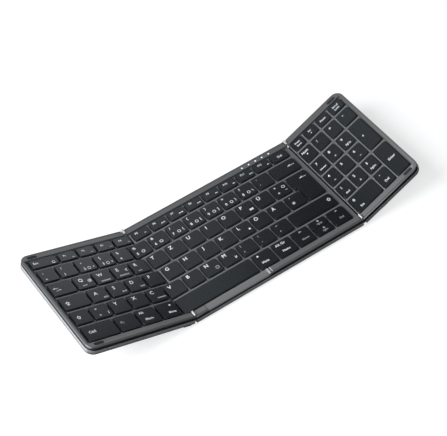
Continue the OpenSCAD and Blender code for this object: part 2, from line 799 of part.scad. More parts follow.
z_cover = z_rail - cover_t;
bar_x = [cover_end, cover_end + wide_bar_w + bar_space];
bar_w = [wide_bar_w, narrow_bar_w];
bar_n = [edge_r, strip_w + fine_groove];
bar_sink = 1;
bar_proud = 0.1;
seam_w = 0.4;
seam_d = 0.4;
seam_gap = 0.6;         // land between the two seams
seam_x = [cover_start - seam_w, cover_start - 2 * seam_w - seam_gap];
module rail_bar(i, z1) {
    translate([bar_x[i], y_front + bar_n[i], z_rail - bar_sink])
        cube([bar_w[i], front_rail_w - bar_n[i], z1 - z_rail + bar_sink]);
}

module middle_front_rail() {
    color("#85888a") difference() {
        front_run(fold_gap / 2, fold_span - fold_gap / 2) rail_profile(front_rail_w);
        translate([cover_start, y_front - through, z_cover])
            cube([cover_end - cover_start, front_rail_w + 2 * through, cover_t + through]);
        for (i = [0, 1]) rail_bar(i, z_rail + through);
        for (x = seam_x) translate([x, y_front - through, z_rail - seam_d])
            cube([seam_w, front_rail_w + 2 * through, seam_d + through]);
        middle_hinge_pockets();
    }
}

module front_rail_cover() {
    color("#9ea1a3") front_run(cover_start, cover_end) intersection() {
        rail_outline(front_rail_w, inner_chamfer);
        translate([0, z_cover]) square([front_rail_w, cover_t]);
    }
}

module rail_bars() {
    color("silver") for (i = [0, 1]) rail_bar(i, z_rail + bar_proud);
}

module indicator_lights() {
    color("white") for (i = [0 : light_count - 1]) light_at(i) translate([0, 0, z_deck])
        cylinder(h = rail_h, r = light_r);
}

module middle_switch_board() {
    color("#2d5a3a") {
        difference() {
            slab(z_board, z_board_top) middle_plan(board_inset, fold_cavity + board_clear);
            translate([socket_x - socket_w / 2 - socket_room,
                       y_back - socket_set - socket_l - socket_room, z_board - through])
                cube([socket_w + 2 * socket_room, socket_l + 2 * socket_room,
                      board_t + 2 * through]);
        }
        domes(concat(right_functions, after_keys(8, 5), right_numbers, after_keys(8, 4),
            right_uppers, right_homes, [enter_parts[1]], right_lowers, after_keys(7, 1), space,
            right_modifiers, side_arrows, down_arrow, up_arrow));
    }
}

module battery() {
    color("#b9bcc0") translate([battery_x, battery_y, z_battery])
        cube([battery_l, battery_w, battery_t]);
}

module charging_socket() {
    tongue_w = 6.7;
    tongue_t = 0.7;
    socket_back = 0.8;
    color("#c9ccd0") {
        difference() {
            socket_run(socket_set, socket_l) socket_shape(socket_h, 0);
            socket_run(-through, socket_l + socket_set + through - socket_back)
                socket_shape(socket_h - 2 * socket_shell, socket_shell);
        }
        translate([socket_x - tongue_w / 2, y_back - socket_set - socket_l,
                   z_socket - tongue_t / 2])
            cube([tongue_w, socket_l - socket_back, tongue_t]);
    }
}

module middle_feet() {
    color("#1c1c1d") long_feet();
}

// ---- the nodes ----

on_middle() middle_lower_case();
on_middle() middle_deck();
on_middle() middle_back_rail();
on_middle() middle_front_rail();
on_middle() front_rail_cover();
on_middle() rail_bars();
on_middle() indicator_lights();
on_middle() middle_switch_board();
on_middle() battery();
on_middle() charging_socket();
on_middle() middle_feet();

on_left_wing() wing_case(left_reach, wing_fold, left_foot_start);  // left_lower_case
on_left_wing() wing_deck(left_reach, wing_fold, left_keys, true);  // left_deck
on_left_wing() wing_rim(left_reach);  // left_rim
on_left_wing() wing_board(left_reach, wing_fold, left_keys, true);  // left_switch_board
on_left_wing() corner_pads(left_reach);  // left_corner_pads
on_left_wing() wing_feet(left_reach, left_foot_start);  // left_feet

on_right_wing() right_case();  // right_lower_case
on_right_wing() wing_deck(right_reach, straight_fold, right_keys, false);  // right_deck
on_right_wing() wing_rim(right_reach);  // right_rim
on_right_wing() wing_board(right_reach, straight_fold, right_keys, false);  // right_switch_board
on_right_wing() corner_pads(right_reach);  // right_corner_pads
on_right_wing() wing_feet(right_reach, right_foot_start);  // right_feet

color("silver") on_middle() {  // hinge_frame_leaves
    frame_leaves();
    translate([fold_span, 0, 0]) turned() frame_leaves();
}
color("silver") on_middle() {  // hinge_pins
    pins();
    translate([fold_span, 0, 0]) pins();
}
on_left_wing() wing_leaves();  // left_hinge_leaves
on_right_wing() wing_leaves();  // right_hinge_leaves

on_left_wing() turned() keycaps(left_end_key(5));  // escape_key
on_left_wing() turned() keycaps(left_four(5));  // left_function_keys
on_left_wing() turned() keycaps(concat(left_end_key(4), left_four(4)));  // left_number_keys
on_left_wing() turned() keycaps(left_end_key(3));  // tab_key
on_left_wing() turned() keycaps(left_four(3));  // left_upper_keys
on_left_wing() turned() keycaps(left_end_key(2));  // caps_lock_key
on_left_wing() turned() keycaps(left_four(2));  // left_home_keys
on_left_wing() turned() keycaps(left_end_key(1));  // left_shift_key
on_left_wing() turned() keycaps(left_four(1));  // left_lower_keys
on_left_wing() turned() keycaps(control);  // control_key
on_left_wing() turned() keycaps(left_modifiers);  // left_modifier_keys

on_middle() keycaps(right_functions);  // right_function_keys
on_middle() keycaps(after_keys(8, 5));  // delete_key
on_middle() keycaps(right_numbers);  // right_number_keys
on_middle() keycaps(after_keys(8, 4));  // backspace_key
on_middle() keycaps(right_uppers);  // right_upper_keys
on_middle() enter_cap();  // enter_key
on_middle() keycaps(right_homes);  // right_home_keys
on_middle() keycaps(right_lowers);  // right_lower_keys
on_middle() keycaps(after_keys(7, 1));  // right_shift_key
on_middle() keycaps(space);  // space_bar
on_middle() keycaps(right_modifiers);  // right_modifier_keys
on_middle() keycaps(side_arrows);  // side_arrow_keys
on_middle() keycaps(up_arrow, [1]);  // up_arrow_key
on_middle() keycaps(down_arrow, [0]);  // down_arrow_key

on_right_wing() keycaps(numpad_tops);  // numpad_top_keys
on_right_wing() keycaps(numpad_signs);  // numpad_sign_keys
on_right_wing() keycaps(numpad_digits);  // numpad_digit_keys
on_right_wing() keycaps(numpad_comma);  // numpad_comma_key
on_right_wing() keycaps(numpad_plus);  // numpad_plus_key
on_right_wing() keycaps(numpad_enter);  // numpad_enter_key
on_right_wing() keycaps(numpad_zero);  // numpad_zero_key
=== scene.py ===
import json
import math
import bmesh
import bpy
from mathutils import Matrix, Vector

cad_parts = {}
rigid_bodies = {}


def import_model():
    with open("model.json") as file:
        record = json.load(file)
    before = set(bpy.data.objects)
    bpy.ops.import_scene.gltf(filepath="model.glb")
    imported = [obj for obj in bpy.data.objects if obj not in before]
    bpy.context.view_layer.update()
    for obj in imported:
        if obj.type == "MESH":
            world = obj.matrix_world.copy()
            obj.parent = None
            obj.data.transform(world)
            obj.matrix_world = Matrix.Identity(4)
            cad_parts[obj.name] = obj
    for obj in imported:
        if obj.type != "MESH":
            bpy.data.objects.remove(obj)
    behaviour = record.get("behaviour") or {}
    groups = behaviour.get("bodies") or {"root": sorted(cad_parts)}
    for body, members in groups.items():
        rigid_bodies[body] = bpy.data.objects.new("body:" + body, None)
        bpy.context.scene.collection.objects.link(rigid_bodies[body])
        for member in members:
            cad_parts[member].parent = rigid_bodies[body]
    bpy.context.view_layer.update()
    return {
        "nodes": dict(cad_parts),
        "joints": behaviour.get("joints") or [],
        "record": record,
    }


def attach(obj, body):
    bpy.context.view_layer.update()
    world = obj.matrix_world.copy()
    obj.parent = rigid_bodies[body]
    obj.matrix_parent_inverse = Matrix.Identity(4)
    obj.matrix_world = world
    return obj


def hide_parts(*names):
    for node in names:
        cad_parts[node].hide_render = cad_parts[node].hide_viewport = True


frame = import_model()
nodes = frame["nodes"]
bodyOf = {n: b for b, members in frame["record"]["behaviour"]["bodies"].items() for n in members}
mm = 0.001
print("frame loaded:", len(nodes), "nodes")


# a node's output that takes part in Python sums
class Wire:
    def __init__(self, shading, socket):
        self.shading = shading
        self.socket = socket

    def maths(self, operation, first, second=0.0):
        return self.shading.node("ShaderNodeMath", {"operation": operation},
                                 {0: first, 1: second})

    def __add__(self, other):
        return self.maths("ADD", self, other)

    def __radd__(self, other):
        return self.maths("ADD", other, self)

    def __sub__(self, other):
        return self.maths("SUBTRACT", self, other)

    def __rsub__(self, other):
        return self.maths("SUBTRACT", other, self)

    def __mul__(self, other):
        return self.maths("MULTIPLY", self, other)

    def __rmul__(self, other):
        return self.maths("MULTIPLY", other, self)

    def __abs__(self):
        return self.maths("ABSOLUTE", self)

    # held between 0 and 1
    def share(self):
        return self.maths("MINIMUM", self.maths("MAXIMUM", self, 0.0), 1.0)


# a tree of shader nodes
class Shading:
    def __init__(self, tree):
        self.tree = tree

    def join(self, socket, value):
        if isinstance(value, Wire):
            self.tree.links.new(value.socket, socket)
        else:
            socket.default_value = value

    def node(self, kind, settings=None, inputs=None, out=0):
        made = self.tree.nodes.new(kind)
        for key, value in (settings or {}).items():
            if key == "stops":
                while len(made.color_ramp.elements) < len(value):
                    made.color_ramp.elements.new(0.5)
                for element, (at, colour) in zip(made.color_ramp.elements, value):
                    element.position = at
                    element.color = colour
            else:
                setattr(made, key, value)
        for key, value in (inputs or {}).items():
            self.join(made.inputs[key], value)
        return Wire(self, made.outputs[out])


# a material with one Principled shader; numbers go straight on its sockets
class Finish(Shading):
    def __init__(self, name, **fixed):
        self.material = bpy.data.materials.new(name)
        self.material.use_nodes = True
        super().__init__(self.material.node_tree)
        self.shader = self.tree.nodes["Principled BSDF"]
        self.drive(**fixed)
        self.place = self.node("ShaderNodeTexCoord", out="Object")

    def drive(self, **values):
        for key, value in values.items():
            self.join(self.shader.inputs[key.replace("_", " ")], value)

    # coordinates in millimetres, stretched along the axes
    def scaled(self, x=1.0, y=1.0):
        scale = (x / mm, y / mm, 1.0 / mm)
        return self.node("ShaderNodeMapping", inputs={"Vector": self.place, "Scale": scale})

    # one coordinate of the place at rest, in millimetres
    def along(self, axis):
        return self.node("ShaderNodeSeparateXYZ", inputs={0: self.scaled()}, out=axis)

    # height in millimetres on a panel as it lies flat, whatever its turn at rest
    def height(self, panel):
        toFlat = lifts[panel].inverted()
        flat = self.node("ShaderNodeMapping", inputs={
            "Vector": self.place, "Location": toFlat.to_translation(),
            "Rotation": toFlat.to_euler()})
        return self.node("ShaderNodeSeparateXYZ", inputs={0: flat}, out="Z") * (1 / mm)

    # noise with the given number of bumps in a millimetre
    def noise(self, perMm, detail=2.0, x=1.0, y=1.0):
        return self.node("ShaderNodeTexNoise", inputs={
            "Vector": self.scaled(x, y), "Scale": perMm, "Detail": detail}, out="Fac")

    # the sockets of a colour Mix node go by number
    def mix(self, amount, first, second):
        return self.node("ShaderNodeMix", {"data_type": "RGBA"},
                         {0: amount, 6: first, 7: second}, out=2)

    # between the "colour" and the "light" of a finish, each with its own warmth
    def shades(self, amount, look, share=1.0):
        warm = look.get("warm", (0.0, 0.0))
        return self.mix(amount, grey(look["colour"] * share, warm[0]),
                        grey(look["light"] * share, warm[1]))

    def multiply(self, first, second):
        return self.node("ShaderNodeVectorMath", {"operation": "MULTIPLY"},
                         {0: first, 1: second})

    def bump(self, height, depth):
        self.drive(Normal=self.node("ShaderNodeBump", inputs={
            "Height": height, "Distance": depth * mm, "Strength": 1.0}))


def grey(value, warm=0.0):
    return (value * (1 + warm), value, value * (1 - warm), 1.0)


# the wings' places at rest, from where they lie flat
def liftOf(jointName):
    joint = next(j for j in frame["joints"] if j["name"] == jointName)
    at = Matrix.Translation(joint["pos_m"])
    turn = Matrix.Rotation(math.radians(-joint["range_deg"][0]), 4, joint["axis"])
    return at @ turn @ at.inverted()


lifts = {"left_wing": liftOf("left_fold"), "right_wing": liftOf("right_fold"),
         "middle": Matrix.Identity(4)}
panelOf = {joint["child"]: joint["parent"] for joint in frame["joints"]}

# in each finish "grain", "flake" and "streak" are bumps in a millimetre, "rougher" is what
# they add to the roughness, and "depth" is their height in millimetres
keyFinish = {"colour": 0.0062, "light": 0.0078, "warm": (-0.09, -0.09), "shine": 0.56,
             "tint": (0.84, 0.93, 1.0, 1.0), "roughness": 0.245, "rougher": 0.05, "grain": 5.0,
             "drift": 0.03, "depth": 0.0006}


def keyPlastic():
    f = Finish("keyPlastic", Specular_IOR_Level=keyFinish["shine"],
               Specular_Tint=keyFinish["tint"])
    grain = f.noise(keyFinish["grain"], detail=3.0)
    f.drive(Base_Color=f.shades(f.noise(keyFinish["drift"], detail=1.0), keyFinish),
            Roughness=grain * keyFinish["rougher"] + keyFinish["roughness"])
    f.bump(grain, keyFinish["depth"])
    return f.material


# painted light and shade: the rails are paler towards the front, darker on the strip outside
# the groove, and darker still on the front faces under the top edge
paintFinish = {"colour": 0.12, "light": 0.185, "warm": (-0.02, 0.01), "roughness": 0.3,
               "rougher": 0.12, "metal": 0.35, "flake": 4.0, "drift": 0.04, "depth": 0.003,
               "flakeShare": 0.8, "driftShare": 0.3, "shareFrom": 0.1, "back": 105.0,
               "reach": 110.0, "backPaintedShade": 0.66, "stripFrom": -6.6, "stripPaintedShade": 0.66,
               "faceFrom": -7.2, "faceTop": 9.65, "frontEdge": 5.0, "topEdge": 3.0,
               "facePaintedShade": {"left_wing": 0.8, "middle": 0.75, "right_wing": 0.14}}


def railPaint(panel):
    f = Finish("railPaint_" + panel)
    flake = f.noise(paintFinish["flake"])
    drift = f.noise(paintFinish["drift"])
    y = f.along("Y")
    near = ((paintFinish["back"] - y) * (1 / paintFinish["reach"])).share()
    shadedStrip = ((paintFinish["stripFrom"] - y) * paintFinish["frontEdge"]).share()
    fore = ((paintFinish["faceFrom"] - y) * paintFinish["frontEdge"]).share()
    below = (paintFinish["faceTop"] - f.height(panel)) * paintFinish["topEdge"]
    face = fore * below.share()
    pale = (flake * paintFinish["flakeShare"] + drift * paintFinish["driftShare"]
            - paintFinish["shareFrom"]).share()
    # painted shade: darker towards the back, on the strip and on the front faces
    paintedShading = f.mix(near, grey(paintFinish["backPaintedShade"]), grey(1.0))
    paintedShading = f.mix(shadedStrip, paintedShading, grey(paintFinish["stripPaintedShade"]))
    paintedShading = f.mix(face, paintedShading, grey(paintFinish["facePaintedShade"][panel]))
    f.drive(Base_Color=f.multiply(f.shades(pale, paintFinish), paintedShading),
            Metallic=face * (1 - paintFinish["metal"]) + paintFinish["metal"],
            Roughness=flake * paintFinish["rougher"] + paintFinish["roughness"])
    f.bump(flake, paintFinish["depth"])
    return f.material


deckFinish = {"colour": 0.084, "light": 0.103, "warm": (-0.03, -0.02), "roughness": 0.37,
              "rougher": 0.16, "grain": 6.0, "drift": 0.05, "depth": 0.004}


# share scales the colour, for the lit and shaded copies around the wells
def deckPlastic(name, share=1.0):
    f = Finish(name)
    grain = f.noise(deckFinish["grain"], detail=3.0)
    f.drive(Base_Color=f.shades(f.noise(deckFinish["drift"]), deckFinish, share),
            Roughness=grain * deckFinish["rougher"] + deckFinish["roughness"])
    f.bump(grain, deckFinish["depth"])
    return f.material


# bands are heights on the panel in millimetres, each with its share of the colour: painted shade
# low down and just under the deck, a painted highlight from about 4 to 6 mm up
caseFinish = {"colour": 0.25, "light": 0.3, "warm": (-0.02, -0.01), "roughness": 0.21,
              "rougher": 0.14, "metal": 0.78, "grain": 5.0, "drift": 0.03, "depth": 0.003,
              "shadingBands": ((1.04, 0.9), (1.1, 0.2), (1.8, 0.25), (2.6, 0.5), (3.4, 0.85),
                        (4.4, 1.15), (5.4, 1.6), (6.3, 1.4), (6.6, 0.15), (7.2, 0.15))}


def caseMetal(panel):
    f = Finish("caseMetal_" + panel, Metallic=caseFinish["metal"])
    grain = f.noise(caseFinish["grain"], detail=3.0)
    top = caseFinish["shadingBands"][-1][0]
    # painted light and shade by height on the panel
    stops = [(z / top, grey(share)) for z, share in caseFinish["shadingBands"]]
    paintedShading = f.node("ShaderNodeValToRGB", {"stops": stops}, {0: f.height(panel) * (1 / top)})
    paint = f.shades(f.noise(caseFinish["drift"]), caseFinish)
    f.drive(Base_Color=f.multiply(paint, paintedShading),
            Roughness=grain * caseFinish["rougher"] + caseFinish["roughness"])
    f.bump(grain, caseFinish["depth"])
    return f.material


coverFinish = {"colour": 0.15, "light": 0.2, "roughness": 0.26, "rougher": 0.16, "metal": 0.4,
               "streak": 6.0, "length": 0.02, "depth": 0.002}


def brushedCover():
    f = Finish("brushedCover", Metallic=coverFinish["metal"])
    streak = f.noise(coverFinish["streak"], detail=3.0, x=coverFinish["length"])
    f.drive(Base_Color=f.shades(streak, coverFinish),
            Roughness=streak * coverFinish["rougher"] + coverFinish["roughness"])
    f.bump(streak, coverFinish["depth"])
    return f.material


metalFinish = {"rougher": 0.1, "depth": 0.001}
trimSteel = {"colour": 0.9, "light": 0.972, "roughness": 0.42, "streak": 5.0, "length": 0.05}
socketSteel = {"colour": 0.55, "light": 0.594, "roughness": 0.28, "streak": 4.0, "length": 1.0}


def brightMetal(name, look):
    f = Finish(name, Metallic=1.0)
    streak = f.noise(look["streak"], y=look["length"])
    f.drive(Base_Color=f.shades(streak, look),
            Roughness=streak * metalFinish["rougher"] + look["roughness"])
    f.bump(streak, metalFinish["depth"])
    return f.material


# the barrels carry a painted highlight down to a height and near their axis, the leaves beside
# them are dull
hingeFinish = {"bright": 0.9, "dull": 0.1, "roughness": 0.38, "streak": 5.0, "length": 0.05,
               "from": 9.5, "over": 0.3, "reach": 1.25, "fade": 0.1}
foldX = max(j["pos_m"][0] for j in frame["joints"] if j["name"].endswith("_fold")) / mm


def hingeSteel():
    f = Finish("hingeSteel", Metallic=1.0)
    streak = f.noise(hingeFinish["streak"], y=hingeFinish["length"])
    off = abs(abs(f.along("X")) - foldX)
    near = ((hingeFinish["reach"] - off) * (1 / hingeFinish["fade"])).share()
    high = ((f.along("Z") - hingeFinish["from"]) * (1 / hingeFinish["over"])).share()
    # painted highlight on the barrels' tops
    f.drive(Base_Color=f.mix(high * near, grey(hingeFinish["dull"]), grey(hingeFinish["bright"])),
            Roughness=streak * metalFinish["rougher"] + hingeFinish["roughness"])
    f.bump(streak, metalFinish["depth"])
    return f.material


rubberFinish = {"colour": 0.012, "light": 0.02, "shine": 0.3, "roughness": 0.6, "rougher": 0.2,
                "grain": 4.0, "depth": 0.01}


def rubber():
    f = Finish("rubber", Specular_IOR_Level=rubberFinish["shine"])
    grain = f.noise(rubberFinish["grain"], detail=4.0)
    f.drive(Base_Color=f.shades(grain, rubberFinish),
            Roughness=grain * rubberFinish["rougher"] + rubberFinish["roughness"])
    f.bump(grain, rubberFinish["depth"])
    return f.material


lensFinish = {"cool": (0.86, 0.9, 0.95, 1.0), "white": (0.95, 0.96, 0.97, 1.0), "glow": 0.25,
              "coat": 0.6, "roughness": 0.15, "rougher": 0.1, "haze": 3.0}


def lightLens():
    f = Finish("lightLens", Emission_Strength=lensFinish["glow"],
               Coat_Weight=lensFinish["coat"])
    haze = f.noise(lensFinish["haze"], detail=1.0)
    colour = f.mix(haze, lensFinish["cool"], lensFinish["white"])
    f.drive(Base_Color=colour, Emission_Color=colour,
            Roughness=haze * lensFinish["rougher"] + lensFinish["roughness"])
    return f.material


inkFinish = {"roughness": 0.45, "rougher": 0.1, "wear": 2.0}
whiteInk = {"colour": 0.66, "light": 0.76, "warm": (-0.01, -0.01)}
greyInk = {"colour": 0.3, "light": 0.38, "warm": (-0.05, -0.05)}


def legendInk(name, look):
    f = Finish(name)
    wear = f.noise(inkFinish["wear"], detail=3.0)
    f.drive(Base_Color=f.shades(wear, look),
            Roughness=wear * inkFinish["rougher"] + inkFinish["roughness"])
    return f.material


boardFinish = {"lacquer": (0.008, 0.07, 0.03, 1.0), "lighter": (0.01, 0.085, 0.035, 1.0),
               "trace": (0.03, 0.16, 0.07, 1.0), "perMm": 0.4, "width": 0.08, "coat": 0.3,
               "roughness": 0.3, "rougher": 0.1, "grain": 2.0}


def circuitBoard():
    f = Finish("circuitBoard", Coat_Weight=boardFinish["coat"])
    traces = f.node("ShaderNodeTexBrick", inputs={
        "Vector": f.scaled(), "Scale": boardFinish["perMm"],
        "Mortar Size": boardFinish["width"], "Color1": boardFinish["lacquer"],
        "Color2": boardFinish["lighter"], "Mortar": boardFinish["trace"]}, out="Color")
    f.drive(Base_Color=traces,
            Roughness=f.noise(boardFinish["grain"]) * boardFinish["rougher"]
            + boardFinish["roughness"])
    return f.material


foilFinish = {"colour": 0.5, "light": 0.62, "metal": 0.8, "roughness": 0.3, "rougher": 0.2,
              "crease": 0.25, "depth": 0.05}


def batteryFoil():
    f = Finish("batteryFoil", Metallic=foilFinish["metal"])
    crease = f.noise(foilFinish["crease"], detail=4.0)
    f.drive(Base_Color=f.shades(crease, foilFinish),
            Roughness=crease * foilFinish["rougher"] + foilFinish["roughness"])
    f.bump(crease, foilFinish["depth"])
    return f.material


finishes = {
    "key_plastic": keyPlastic(), "rail_plastic": railPaint("middle"),
    "deck_plastic": deckPlastic("deckPlastic"),
    "case_metal": caseMetal("middle"), "cover_metal": brushedCover(),
    "bright_metal": brightMetal("brightMetal", trimSteel),
    "hinge_steel": hingeSteel(),
    "socket_steel": brightMetal("socketSteel", socketSteel),
    "foot_rubber": rubber(), "light_lens": lightLens(), "circuit_board": circuitBoard(),
    "battery_foil": batteryFoil(),
}
inks = {"white": legendInk("keyInk", whiteInk), "grey": legendInk("paleInk", greyInk)}
# finishes whose painted light and shade go by the height on their panel
wingFinishes = {panel: {"case_metal": caseMetal(panel), "rail_plastic": railPaint(panel)}
                for panel in ("left_wing", "right_wing")}
slotOf = {part["node"]: part["material_slot"] for part in frame["record"]["subparts"]}
print("finishes made:", len(finishes) + len(inks))


def place(mesh, name, body, materials, replaced=()):
    piece = bpy.data.objects.new(name, mesh)
    bpy.context.scene.collection.objects.link(piece)
    for material in materials:
        mesh.materials.append(material)
    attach(piece, body)
    if replaced:
        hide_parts(*replaced)
    return piece


def toMesh(bm, name, degrees):
    mesh = bpy.data.meshes.new(name)
    bm.to_mesh(mesh)
    bm.free()
    mesh.shade_smooth()
    mesh.set_sharp_from_angle(angle=math.radians(degrees))
    return mesh


# adds a small mesh to a larger one
def pour(bm, target):
    mesh = bpy.data.meshes.new("poured")
    bm.to_mesh(mesh)
    bm.free()
    target.from_mesh(mesh)
    bpy.data.meshes.remove(mesh)


def rounded(bm, geom, width, steps, kind="EDGES"):
    bmesh.ops.bevel(bm, geom=geom, offset=width * mm, segments=steps, profile=0.5,
                    affect=kind, material=-1)


# points this near in millimetres are one, and faces this flat in degrees are one
merging = {"near": 0.0005, "flat": 0.4}


# copy of a CAD node with its points merged and its flat faces joined
def mergedCopy(node):
    bm = bmesh.new()
    bm.from_mesh(nodes[node].data)
    bmesh.ops.remove_doubles(bm, verts=bm.verts, dist=merging["near"] * mm)
    bmesh.ops.dissolve_limit(bm, angle_limit=math.radians(merging["flat"]), verts=bm.verts,
                             edges=bm.edges)
    return bm


softEdges = {"segments": 2, "angle": 40}


# rigid CAD nodes get their edges broken as the real ones have
def softened(node, width):
    bm = mergedCopy(node)
    mesh = toMesh(bm, node + "_shell", softEdges["angle"])
    slotName = slotOf[node]
    skin = wingFinishes.get(bodyOf[node], finishes).get(slotName, finishes[slotName])
    piece = place(mesh, node + "_shell", bodyOf[node], [skin], (node,))
    edge = piece.modifiers.new("softEdges", "BEVEL")
    edge.width = width * mm
    edge.segments = softEdges["segments"]
    edge.limit_method = "ANGLE"
    edge.angle_limit = math.radians(softEdges["angle"])
    edge.use_clamp_overlap = False
    edge.harden_normals = True


softWidths = {"left_rim": 0.12, "right_rim": 0.12, "middle_back_rail": 0.12,
              "middle_front_rail": 0.12, "front_rail_cover": 0.12, "left_deck": 0.1,
              "middle_deck": 0.1, "right_deck": 0.1, "left_lower_case": 0.1,
              "middle_lower_case": 0.1, "right_lower_case": 0.1, "rail_bars": 0.1,
              "left_corner_pads": 0.15, "right_corner_pads": 0.15, "middle_feet": 0.2,
              "left_feet": 0.2, "right_feet": 0.2, "hinge_frame_leaves": 0.08,
              "left_hinge_leaves": 0.08, "right_hinge_leaves": 0.08, "charging_socket": 0.05}
for node, width in softWidths.items():
    softened(node, width)
# the CAD nodes themselves, of which those that nothing replaces are seen
for node, cad in nodes.items():
    cad.data.materials.clear()
    cad.data.materials.append(finishes[slotOf[node]])
print("cases, decks, rails and hinges finished:", len(softWidths))


# keycaps, drawn in millimetres on the flat panel; "rounding" has steps inwards and upwards
cap = {"bottom": 6.0, "deck": 7.2, "top": 9.2, "corner": 2.0, "cornerSteps": 5, "taper": 0.06,
       "rounding": ((0.05, 0.14), (0.08, 0.1), (0.1, 0.04)), "land": 0.1, "innerCorner": 0.6,
       "innerSteps": 3, "angle": 30}
# how an outline is read: points this near the deck, the front part, the stepped cap's step
reading = {"near": 0.05, "front": 5.0, "step": 1.0, "beside": 0.6}


# outlines of a node's keys where the panel lies flat, as lists of corners in millimetres,
# row by row from the back and from the left
def keyOutlines(node):
    toFlat = lifts[panelOf[bodyOf[node]]].inverted()
    bm = mergedCopy(node)
    bm.transform(toFlat)
    outlines = []
    waiting = set(bm.verts)
    while waiting:
        island = [waiting.pop()]
        for vert in island:
            for edge in vert.link_edges:
                other = edge.other_vert(vert)
                if other in waiting:
                    waiting.remove(other)
                    island.append(other)
        rim = [v.co / mm for v in island
               if abs(v.co.z / mm - cap["deck"]) < reading["near"]]
        x0, x1 = min(p.x for p in rim), max(p.x for p in rim)
        y0, y1 = min(p.y for p in rim), max(p.y for p in rim)
        low = min(p.x for p in rim if p.y < y0 + reading["front"])
        if low > x0 + reading["step"]:      # the stepped cap over two rows
            step = min(p.y for p in rim if p.x < low - reading["beside"])
            outlines.append([(x0, step), (low, step), (low, y0), (x1, y0), (x1, y1), (x0, y1)])
        else:
            outlines.append([(x0, y0), (x1, y0), (x1, y1), (x0, y1)])
    bm.free()
    return sorted(outlines, key=lambda c: (-round(c[-1][1]), c[-1][0]))


def addKeycap(target, corners):
    bm = bmesh.new()
    foot = bm.faces.new([bm.verts.new((x * mm, y * mm, cap["bottom"] * mm)) for x, y in corners])
    raised = bmesh.ops.extrude_face_region(bm, geom=[foot])["geom"]
    lift = (cap["deck"] - cap["bottom"]) * mm
    bmesh.ops.translate(bm, vec=(0, 0, lift),
                        verts=[g for g in raised if isinstance(g, bmesh.types.BMVert)])
    bmesh.ops.recalc_face_normals(bm, faces=bm.faces)
    upright = [e for e in bm.edges if abs(e.verts[0].co.z - e.verts[1].co.z) > lift / 2]
    inner = [e for e in upright if not e.is_convex]
    outer = [e for e in upright if e.is_convex]
    if inner:
        rounded(bm, inner, cap["innerCorner"], cap["innerSteps"])
        outer = [e for e in outer if e.is_valid]
    rounded(bm, outer, cap["corner"], cap["cornerSteps"])
    roof = max(bm.faces, key=lambda f: (f.normal.z, f.calc_center_median().z))
    rise = cap["top"] - cap["deck"] - sum(step[1] for step in cap["rounding"])
    steps = [(cap["taper"], rise)] + list(cap["rounding"]) + [(cap["land"], 0.0)]
    for inward, up in steps:
        bmesh.ops.inset_individual(bm, faces=[roof], thickness=inward * mm, depth=up * mm,
                                   use_even_offset=True)
    pour(bm, target)


keyNodes = [n for n in nodes if slotOf[n] == "key_plastic"]
outlinesOf = {n: keyOutlines(n) for n in keyNodes}
for node in keyNodes:
    bm = bmesh.new()
    for corners in outlinesOf[node]:
        addKeycap(bm, corners)
    bm.transform(lifts[panelOf[bodyOf[node]]])
    place(toMesh(bm, node + "_caps", cap["angle"]), node + "_caps", bodyOf[node],
          [finishes["key_plastic"]], (node,))
print("keycaps made:", sum(len(o) for o in outlinesOf.values()))

# thin rings on the deck around the wells, coloured with painted light and shade: painted light
# in front of a key and a brighter painted glint at its left, painted shade behind it and at its
# right
well = {"clear": 0.3, "left": 0.45, "right": 0.45, "front": 0.8, "back": 0.9, "proud": 0.03,
        "thickness": 0.1, "corner": 2.6, "cornerSteps": 5, "backEnd": 102.4, "angle": 30}
# each finish is a lit or shaded copy of the deck plastic with its share of the deck's colour,
# in the order of the material numbers
wellShares = {"wellPaintedLight": 1.55, "wellPaintedShade": 0.08, "wellPaintedGlint": 2.3}
wellLightFinishes = [deckPlastic(name, share) for name, share in wellShares.items()]


# a square-cornered outline moved outwards, by a width of its own on each side
def widened(corners, widths):
    wide = []
    for i, (x, y) in enumerate(corners):
        for a, b in ((corners[i - 1], (x, y)), ((x, y), corners[(i + 1) % len(corners)])):
            if abs(b[0] - a[0]) > abs(b[1] - a[1]):
                y += widths["back"] if b[0] < a[0] else -widths["front"]
            else:
                x += widths["right"] if b[1] > a[1] else -widths["left"]
        wide.append((x, min(y, well["backEnd"])))
    return wide


def addWellLightRing(target, corners):
    bm = bmesh.new()
    z = (cap["deck"] + well["proud"]) * mm
    for share in (0.0, 1.0):
        widths = {side: well["clear"] + well[side] * share
                  for side in ("left", "right", "front", "back")}
        outline = bm.faces.new([bm.verts.new((x * mm, y * mm, z))
                                for x, y in widened(corners, widths)])
        rounded(bm, outline.verts, well["corner"], well["cornerSteps"], "VERTICES")
    rims = list(bm.edges)
    bmesh.ops.delete(bm, geom=list(bm.faces), context="FACES_ONLY")
    bmesh.ops.bridge_loops(bm, edges=rims)
    x0, y0 = min(c[0] for c in corners) * mm, min(c[1] for c in corners) * mm
    # painted light in front, a painted glint at the left, painted shade behind and at the right
    for face in bm.faces:
        middle = face.calc_center_median()
        if middle.x < x0:
            side = "wellPaintedGlint"
        else:
            side = "wellPaintedLight" if middle.y < y0 else "wellPaintedShade"
        face.material_index = list(wellShares).index(side)
        if face.normal.z < 0:
            face.normal_flip()
    bmesh.ops.solidify(bm, geom=bm.faces, thickness=well["thickness"] * mm)
    pour(bm, target)


# the two half-depth arrows share one painted well ring
halfKeys = ("down_arrow_key", "up_arrow_key")
for panel in lifts:
    rims = [c for n in keyNodes if panelOf[bodyOf[n]] == panel and n not in halfKeys
            for c in outlinesOf[n]]
    if panel == "middle":
        low, high = (outlinesOf[n][0] for n in halfKeys)
        rims.append([low[0], low[1], high[2], high[3]])
    bm = bmesh.new()
    for corners in rims:
        addWellLightRing(bm, corners)
    bm.transform(lifts[panel])
    name = panel + "_well_edges"
    place(toMesh(bm, name, well["angle"]), name, panel, wellLightFinishes)
print("well edges made")

